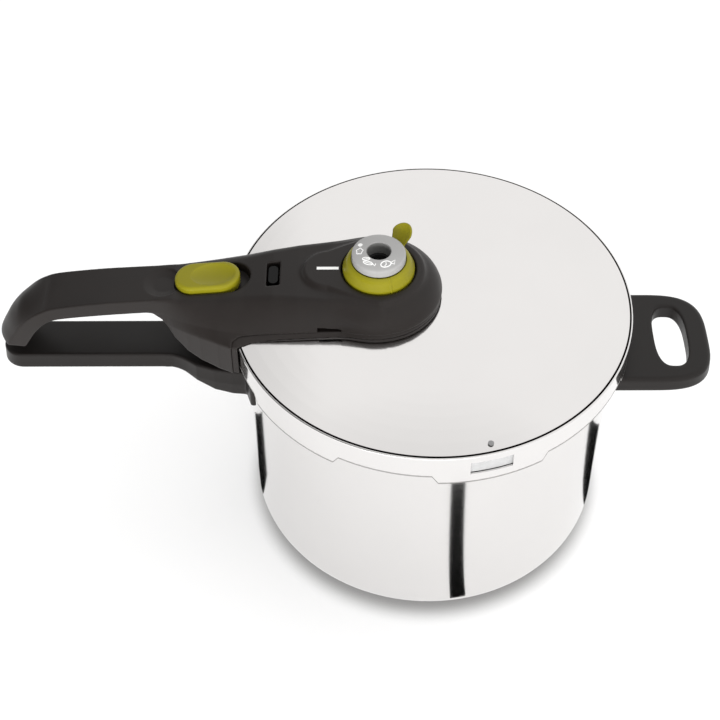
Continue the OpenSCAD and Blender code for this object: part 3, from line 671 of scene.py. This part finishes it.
profile = [(HOLE_R, 206.15), (HOLE_R, 214.35), (7.5, 214.7), (8.0, float(dial_top(8.0)))]
profile += [(14.6, float(dial_top(14.6))), (15.3, 213.2), (15.75, 212.8)]
profile += [(DIAL_R, 212.2), (DIAL_R, 208.55)]
profile += [(9.05, 208.55), (9.05, 206.15)]
dial = add_mesh("dial", *lathe(profile[::-1], 160, (VALVE_X, 0.0)), mat_dial, 35.0)
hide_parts("dial_cap")
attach(dial, "selector")
# thin sleeve inside the dial's hole, painted darker grey as shade in the bore
bore = [(7.0, 206.2), (7.27, 206.2), (7.27, 214.1), (7.0, 214.1)]
bore_shade = add_mesh("dial_bore", *lathe(bore, 96, (VALVE_X, 0.0)), mat_bore_shade, 35.0)
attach(bore_shade, "selector")


def stroke(points, width=0.42, closed=True):
    """Raised line of print on the dial face. Points are mm from the valve axis."""
    p = np.array(points, float)
    n = len(p)
    ahead = np.roll(p, -1, 0) - p
    behind = p - np.roll(p, 1, 0)
    if not closed:
        ahead[-1], behind[0] = behind[-1], ahead[0]
    t = ahead / np.linalg.norm(ahead, axis=1)[:, None] + behind / np.linalg.norm(behind, axis=1)[:, None]
    t = t / np.linalg.norm(t, axis=1)[:, None]
    side = np.stack([-t[:, 1], t[:, 0]], 1) * width / 2
    verts, faces = [], []
    for q, s in zip(p, side):
        for corner, lift in ((q + s, -0.05), (q + s, 0.1), (q - s, 0.1), (q - s, -0.05)):
            verts.append((VALVE_X + corner[0], corner[1], float(dial_top(math.hypot(*corner))) + lift))
    for i in range(n if closed else n - 1):
        j = (i + 1) % n
        faces += [[4 * i + k, 4 * j + k, 4 * j + k + 1, 4 * i + k + 1] for k in range(3)]
    return verts, faces


def loop(cx, cy, rx, ry, tilt=0.0, lobes=0, depth=0.0, n=40):
    out = []
    for i in range(n):
        a = 2 * math.pi * i / n
        k = 1.0 + depth * math.cos(lobes * a)
        u, v = rx * k * math.cos(a), ry * k * math.sin(a)
        c, w = math.cos(math.radians(tilt)), math.sin(math.radians(tilt))
        out.append((cx + u * c - v * w, cy + u * w + v * c))
    return out


marks = [
    stroke(loop(-10.9, 5.8, 0.7, 0.7), 1.4),
    stroke(loop(-11.3, 0.4, 2.3, 1.8, 80.0, 5, 0.13), 0.55),
    stroke(loop(-7.5, -6.2, 2.2, 1.05, -8.0), 0.5), stroke([(-9.4, -6.4), (-5.7, -6.1)], 0.4, False),
    stroke(loop(-6.5, -9.3, 2.9, 1.1, -24.0), 0.5), stroke([(-8.9, -8.2), (-4.1, -10.2)], 0.4, False),
    stroke([(-3.9, -9.9), (-2.5, -11.7), (-2.0, -10.1)], 0.5, False),
    stroke(loop(4.0, -10.3, 3.1, 2.0, 22.0), 0.6),
    stroke([(6.9, -9.0), (9.4, -6.9), (8.9, -10.0), (7.0, -9.4)], 0.5, False),
    stroke([(3.2, -11.7), (4.2, -10.6), (4.0, -9.1)], 0.45, False),
]
icons = add_mesh("dial_marks", *join(marks), mat_white, 35.0)
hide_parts("dial_icons")
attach(icons, "selector")

# ---------------------------------------------------------------- plain finish on the CAD nodes that stay
KEEP = {
    "base_core": mat_alu, "base_cap": mat_spun, "long_bracket": mat_plate,
    "long_handle_screw": mat_plate, "helper_bracket": mat_plate, "helper_screws": mat_plate,
    "gasket": mat_silicone, "lid_rivet": mat_rivet, "handle_screws": mat_plate,
    "index_mark": mat_white, "steam_pipe": mat_plate, "pipe_washer": mat_silicone,
    "pipe_nut": mat_plate, "safety_body": mat_brass, "safety_nut": mat_plate,
    "safety_ball": mat_plate, "safety_spring": mat_plate, "indicator_bush": mat_grey_rubber,
    "indicator_pin": mat_dark, "indicator_seal": mat_grey_rubber, "lock_bolt": mat_plate,
    "valve_core": mat_core, "valve_retainer": mat_dim, "valve_needle": mat_brass,
    "valve_spring": mat_plate, "lock_button": mat_green, "selector_ring": mat_green,
    "dial_cap": mat_dial, "dial_icons": mat_white, "helper_handle": mat_bakelite,
    "pot_long_handle": mat_bakelite, "pot_shell": mat_wall, "lid_shell": mat_steel,
}
for name, mat in KEEP.items():
    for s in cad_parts[name].material_slots:
        s.material = mat

# ---------------------------------------------------------------- studio
def stage_mesh(name, verts, mat):
    me = bpy.data.meshes.new(name)
    me.from_pydata([tuple(v) for v in verts], [], [tuple(range(len(verts)))])
    me.materials.append(mat)
    ob = bpy.data.objects.new(name, me)
    bpy.context.collection.objects.link(ob)
    return ob


m, nodes, links = material("floor_white")
diffuse = node(nodes, "ShaderNodeBsdfDiffuse", Color=(0.9, 0.9, 0.9, 1.0))
glow = node(nodes, "ShaderNodeEmission", Color=(1.0, 1.0, 1.0, 1.0), Strength=1.15)
blend = node(nodes, "ShaderNodeMixShader", Fac=0.4)
links.new(diffuse.outputs[0], blend.inputs[1])
links.new(glow.outputs[0], blend.inputs[2])
finish_material(m, nodes, links, blend)
stage_mesh("floor", [(-6, -6, 0), (6, -6, 0), (6, 6, 0), (-6, 6, 0)], m)

m, nodes, links = material("flag_black")
flag = node(nodes, "ShaderNodeBsdfDiffuse", Color=(0.004, 0.004, 0.004, 1.0))
finish_material(m, nodes, links, flag)
FLAG_Z = 0.0006
flags = [
    [(0.016, -0.118), (0.0275, -0.1165), (0.062, -0.215), (0.0365, -0.222)],
    [(-0.113, -0.020), (-0.118, 0.006), (-0.139, 0.050), (-0.170, 0.030), (-0.133, -0.012)],
    [(0.110, -0.030), (0.112, -0.014), (0.146, 0.036), (0.190, 0.004), (0.134, -0.022)],
]
for i, corners in enumerate(flags):
    ob = stage_mesh(f"flag_{i}", [(x, y, FLAG_Z) for x, y in corners], m)
    ob.visible_camera = False
    ob.visible_diffuse = False
    ob.visible_shadow = False

# soft contact shadow around the foot of the pot
m, nodes, links = material("contact_shadow")
co = node(nodes, "ShaderNodeTexCoord")
length = node(nodes, "ShaderNodeVectorMath", operation="LENGTH")
links.new(co.outputs["Object"], length.inputs[0])
fade = ramp(nodes, 0.102, 0.125, 0.68, 0.0)
fade.interpolation_type = "SMOOTHERSTEP"
links.new(length.outputs["Value"], fade.inputs["Value"])
clear = node(nodes, "ShaderNodeBsdfTransparent")
dark = node(nodes, "ShaderNodeBsdfDiffuse", Color=(0.03, 0.025, 0.02, 1.0))
blend = node(nodes, "ShaderNodeMixShader")
links.new(fade.outputs["Result"], blend.inputs[0])
links.new(clear.outputs[0], blend.inputs[1])
links.new(dark.outputs[0], blend.inputs[2])
finish_material(m, nodes, links, blend)
SHADE_R, SHADE_Z = 0.15, 0.0003
turn = [math.radians(a) for a in range(0, 360, 5)]
ring = [(SHADE_R * math.cos(a), SHADE_R * math.sin(a), SHADE_Z) for a in turn]
shade = stage_mesh("contact_shadow", ring, m)
shade.visible_glossy = False
shade.visible_diffuse = False
shade.visible_shadow = False

world = bpy.data.worlds.new("studio")
bpy.context.scene.world = world
world.use_nodes = True
wn, wl = world.node_tree.nodes, world.node_tree.links
wn.clear()
co = node(wn, "ShaderNodeTexCoord")
sep = node(wn, "ShaderNodeSeparateXYZ")
wl.new(co.outputs["Generated"], sep.inputs[0])
side = ramp(wn, -0.5, -0.14, 0.0, 1.0)
wl.new(sep.outputs["X"], side.inputs["Value"])
over = ramp(wn, 0.86, 0.97, 1.0, 0.7)
wl.new(sep.outputs["Z"], over.inputs["Value"])
low = ramp(wn, 0.0, 0.1, 1.0, 0.0)
wl.new(sep.outputs["Z"], low.inputs["Value"])
lit = node(wn, "ShaderNodeMath", operation="MULTIPLY")
wl.new(side.outputs["Result"], lit.inputs[0])
wl.new(over.outputs["Result"], lit.inputs[1])
both = node(wn, "ShaderNodeMath", operation="MAXIMUM")
wl.new(lit.outputs[0], both.inputs[0])
wl.new(low.outputs["Result"], both.inputs[1])
cr = node(wn, "ShaderNodeValToRGB")
cr.color_ramp.elements[0].position = 0.0
cr.color_ramp.elements[0].color = (0.3, 0.3, 0.3, 1)
cr.color_ramp.elements[1].position = 1.0
cr.color_ramp.elements[1].color = (1.0, 0.995, 0.99, 1)
wl.new(both.outputs[0], cr.inputs["Fac"])
bg = node(wn, "ShaderNodeBackground", Strength=1.04)
wl.new(cr.outputs["Color"], bg.inputs["Color"])
wo = node(wn, "ShaderNodeOutputWorld")
wl.new(bg.outputs[0], wo.inputs[0])


def area(name, at, aim, size, power, spread=180.0):
    data = bpy.data.lights.new(name, "AREA")
    data.shape = "RECTANGLE"
    data.size, data.size_y = size
    data.energy = power
    data.spread = math.radians(spread)
    ob = bpy.data.objects.new(name, data)
    bpy.context.collection.objects.link(ob)
    ob.location = at
    ob.rotation_euler = (Vector(aim) - Vector(at)).to_track_quat("-Z", "Y").to_euler()
    ob.visible_glossy = False
    return ob


area("front_light", (-0.25, -1.5, 0.35), (-0.02, 0.0, 0.15), (1.4, 0.5), 26.0)
area("top_light", (0.3, 0.2, 1.8), (0.0, 0.0, 0.15), (1.6, 1.6), 11.0)

# ---------------------------------------------------------------- camera
PITCH = math.radians(48.5376)
ROLL = -0.0025065
cam_data = bpy.data.cameras.new("camera")
cam_data.lens = 74.978
cam_data.sensor_width = 36.0
cam_data.clip_start = 0.05
cam = bpy.data.objects.new("camera", cam_data)
bpy.context.collection.objects.link(cam)
fwd = Vector((0.0, math.cos(PITCH), -math.sin(PITCH)))
right = Vector((1.0, 0.0, 0.0))
up_v = right.cross(fwd)
r2 = math.cos(ROLL) * right + math.sin(ROLL) * up_v
u2 = -math.sin(ROLL) * right + math.cos(ROLL) * up_v
cam.matrix_world = Matrix.Translation((-0.0435, -0.62907, 0.83023)) @ Matrix((
    (r2.x, u2.x, -fwd.x), (r2.y, u2.y, -fwd.y), (r2.z, u2.z, -fwd.z))).to_4x4()
bpy.context.scene.camera = cam
view = bpy.context.scene.view_settings
view.view_transform = "Standard"
view.look = "None"
